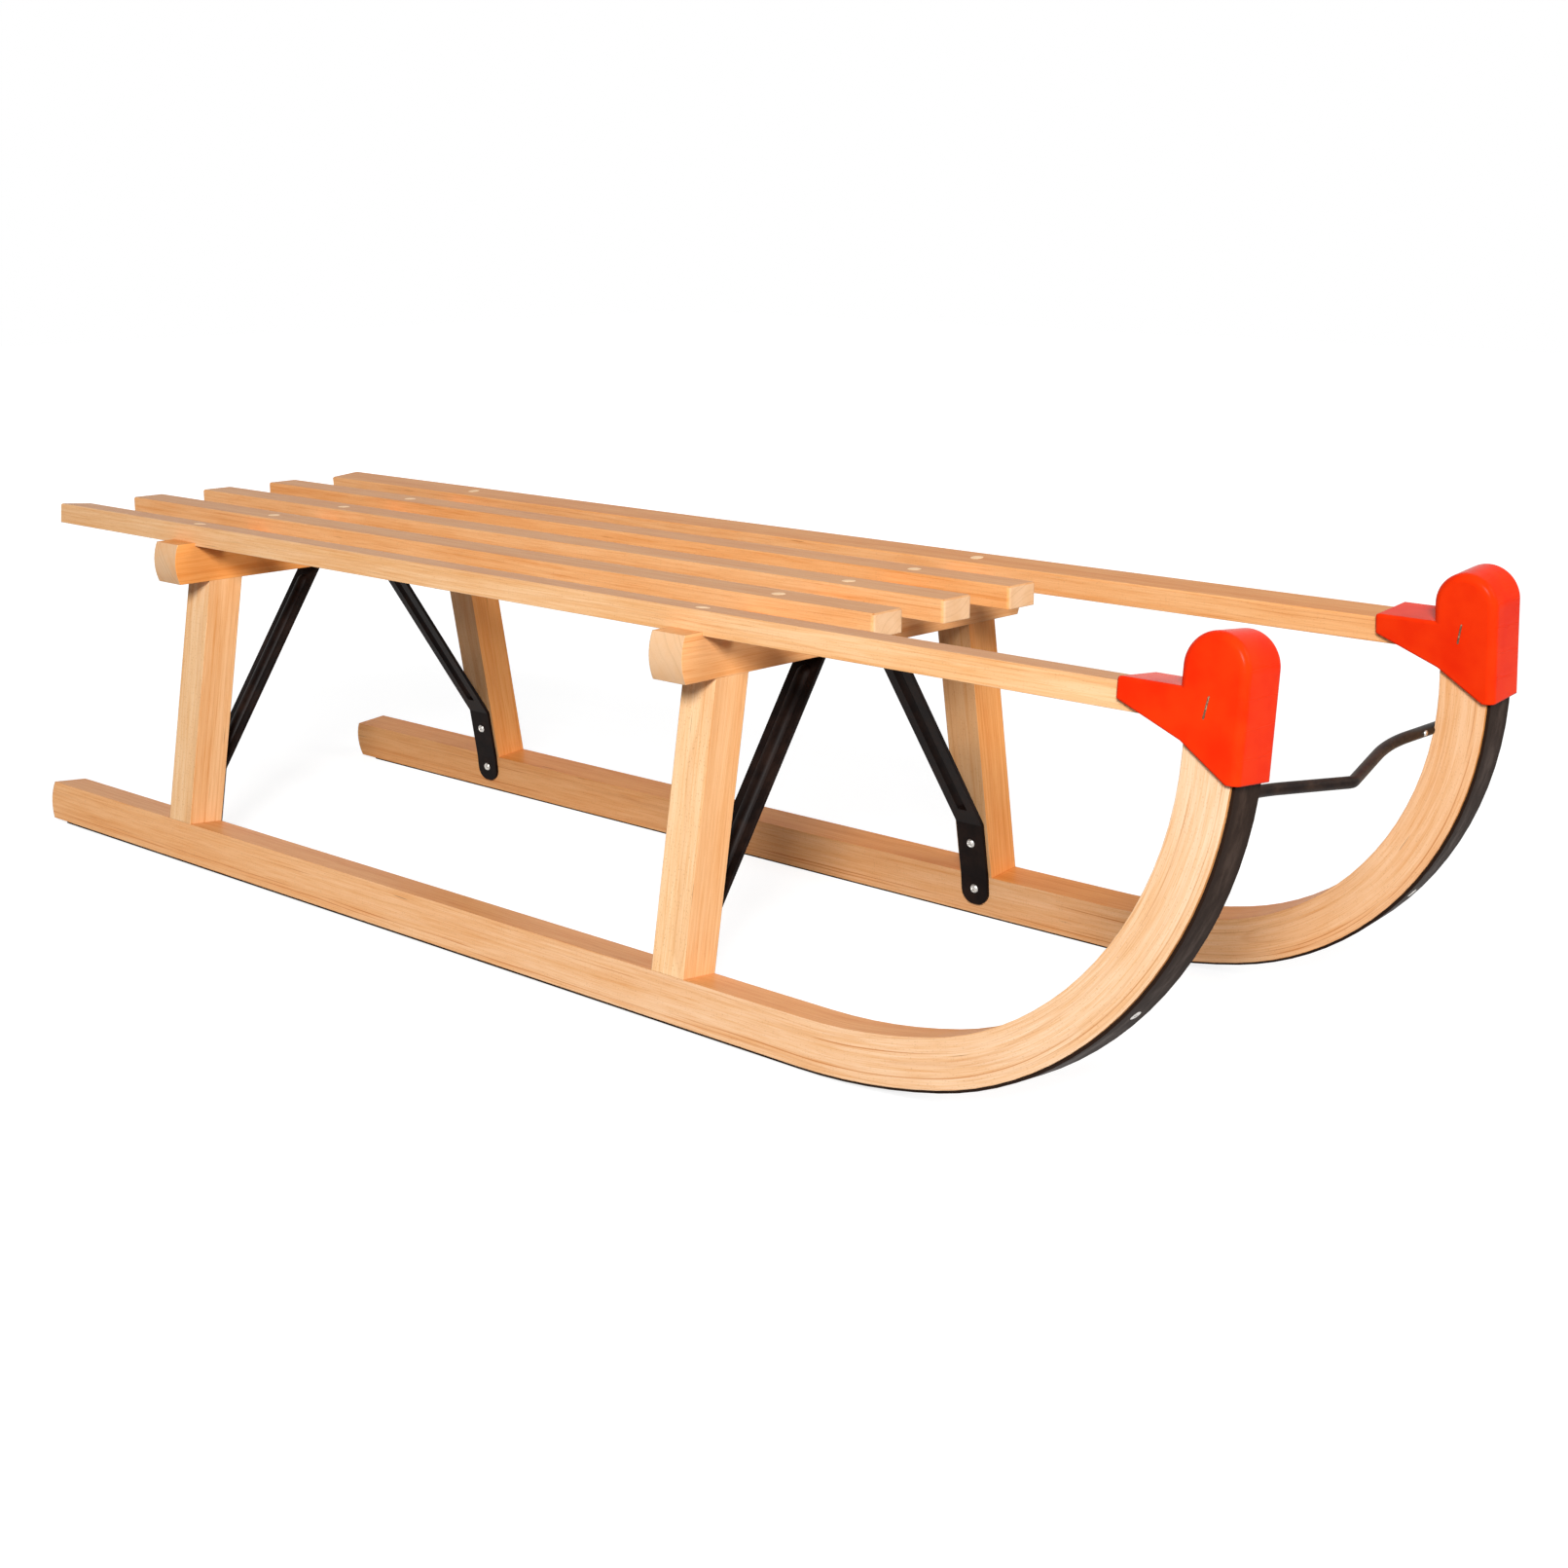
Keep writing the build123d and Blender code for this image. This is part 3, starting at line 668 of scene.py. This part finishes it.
def staple_build(wire):
    """Browned wire: dull, with a few brighter scuffs along it."""
    x, y, z = spread(wire)
    scuff = wire.noise((x * 1.2, y * 1.2, z * 0.6), 3.0)
    return {
        "Base Color": scuff.step(0.45, 0.75).tint(STAPLE_BROWN, STAPLE_BRIGHT),
        "Roughness": 0.35 + scuff * 0.2,
    }


def staple(length, wire_radius, leg, around=12):
    """Corners of a staple, a leg in, the crown and a leg out, bent round and carried out as a tube."""
    half = length / 2
    corners = np.array(((-half, 0, -leg), (-half, 0, 0), (half, 0, 0), (half, 0, -leg)))
    path = bent_path(corners, (2 * wire_radius, 2 * wire_radius), steps=7)
    return tube(path, np.array((0, 1.0, 0)), wire_radius, around)


red_plastic = make_finish("red_plastic", red_plastic_build, Specular_IOR_Level=0.03)
staple_wire = make_finish("staple_wire", staple_build, Metallic=0.8)
staple_seats = []
for side_name, side in sides:
    node = f"horn_cap_{side_name}"
    dress(node, red_plastic)
    for start, way in ((side * CLEAR, -side), (0.0, side)):
        top, end = (seat(node, (x, start, z), (0, way, 0)) for x, z in (STAPLE_TOP, STAPLE_END))
        run = (top[0] - end[0]) / np.linalg.norm(top[0] - end[0])
        staple_seats.append(((top[0] + end[0]) / 2, run, np.cross(top[3], run), top[3]))
cap_staple = staple(STAPLE_LENGTH, STAPLE_WIRE, STAPLE_LEG)
skin("cap_staples", repeat(cap_staple, staple_seats), staple_wire)


# Studio: a pale sweep that reads as white, a lamp at the near front corner, a weaker one high in
# front, a low one behind for the shaded sides, and the camera of the photograph.
def backdrop(tree, power):
    """1 for what the camera, glossy and clear rays see, and the power given for all other rays."""
    wire = Wire(tree)
    rays = ("Camera", "Glossy", "Transmission")
    looks = [wire.add("LightPath", None, None, f"Is {ray} Ray") for ray in rays]
    return wire.math("MINIMUM", looks[0] + looks[1] + looks[2], 1.0).switch(power, 1.0)


AIR_GLOW = 0.10
world = bpy.data.worlds.new("studio_air")
bpy.context.scene.world = world
world.use_nodes = True
air = world.node_tree.nodes["Background"]
air.inputs["Color"].default_value = (1, 1, 1, 1)
world.node_tree.links.new(backdrop(world.node_tree, AIR_GLOW).socket, air.inputs["Strength"])

FLOOR_HALF, FLOOR_PALE, FLOOR_GLOW = 6.0, 0.30, 0.86
WHITE_FROM, WHITE_AT = 800.0, 1800.0


def flat_square(half, rows=41):
    """Flat square: x and y run over a grid, z is zero."""
    line = np.linspace(-half, half, rows)
    x, y = np.meshgrid(line, line, indexing="ij")
    points = np.stack((x, y, np.zeros_like(x)), axis=-1).reshape(-1, 3)
    index = np.arange(rows * rows).reshape(rows, rows)
    faces = np.stack((index[:-1, :-1], index[1:, :-1], index[1:, 1:], index[:-1, 1:]), axis=-1)
    mesh = bpy.data.meshes.new("floor")
    mesh.from_pydata(points.tolist(), [], faces.reshape(-1, 4).tolist())
    return mesh


def paper_build(wire):
    """White to the eye, fully so away from the sled, with its shadow on pale paper; clear from below."""
    x, y, _ = spread(wire)
    away = ((x * x + y * y) ** 0.5).step(WHITE_FROM, WHITE_AT)
    glow = backdrop(wire.tree, 0.0) * away.switch(FLOOR_GLOW, 1.0)
    return {
        "Emission Color": wire.add("CombineColor", None, {0: glow, 1: glow, 2: glow}),
        "Alpha": 1.0 - wire.add("NewGeometry", None, None, "Backfacing"),
    }


floor = bpy.data.objects.new("floor", flat_square(FLOOR_HALF))
bpy.context.scene.collection.objects.link(floor)
paper_grey = (FLOOR_PALE, FLOOR_PALE, FLOOR_PALE, 1)
matt = {"Base_Color": paper_grey, "Emission_Strength": 1.0, "Roughness": 0.9, "Specular_IOR_Level": 0.0}
paper = make_finish("floor_paper", paper_build, **matt)
floor.data.materials.append(paper)

lamps = (
    # name, place, aimed at, width, power, seen in gloss
    ("key_near_side", (2.30, -2.76, 2.03), (0.10, 0, 0.15), 1.0, 200.0, True),
    ("fill_front", (3.1, 0.9, 2.4), (0.0, 0, 0.2), 2.0, 55.0, True),
    ("fill_back", (-3.2, 2.6, 0.9), (0.0, 0, 0.15), 2.0, 60.0, False),
)
for name, place, aim, width, power, in_gloss in lamps:
    light = bpy.data.lights.new(name, "AREA")
    light.size = width
    light.energy = power
    lamp = bpy.data.objects.new(name, light)
    lamp.location = place
    lamp.visible_glossy = in_gloss
    lamp.rotation_euler = (Vector(aim) - Vector(place)).to_track_quat("-Z", "Y").to_euler()
    bpy.context.scene.collection.objects.link(lamp)

CAMERA_PLACE, CAMERA_AIM = Vector((1.14337, -1.12268, 0.50570)), Vector((0.10828, 0.0, 0.11476))
SENSOR_MM, FOCAL_MM = 36.0, 53.427
lens = bpy.data.cameras.new("camera")
lens.sensor_width = SENSOR_MM
lens.lens = FOCAL_MM
camera = bpy.data.objects.new("camera", lens)
camera.location = CAMERA_PLACE
camera.rotation_euler = (CAMERA_AIM - CAMERA_PLACE).to_track_quat("-Z", "Y").to_euler()
bpy.context.scene.collection.objects.link(camera)
bpy.context.scene.camera = camera
bpy.context.scene.view_settings.view_transform = "Standard"

bpy.context.view_layer.update()
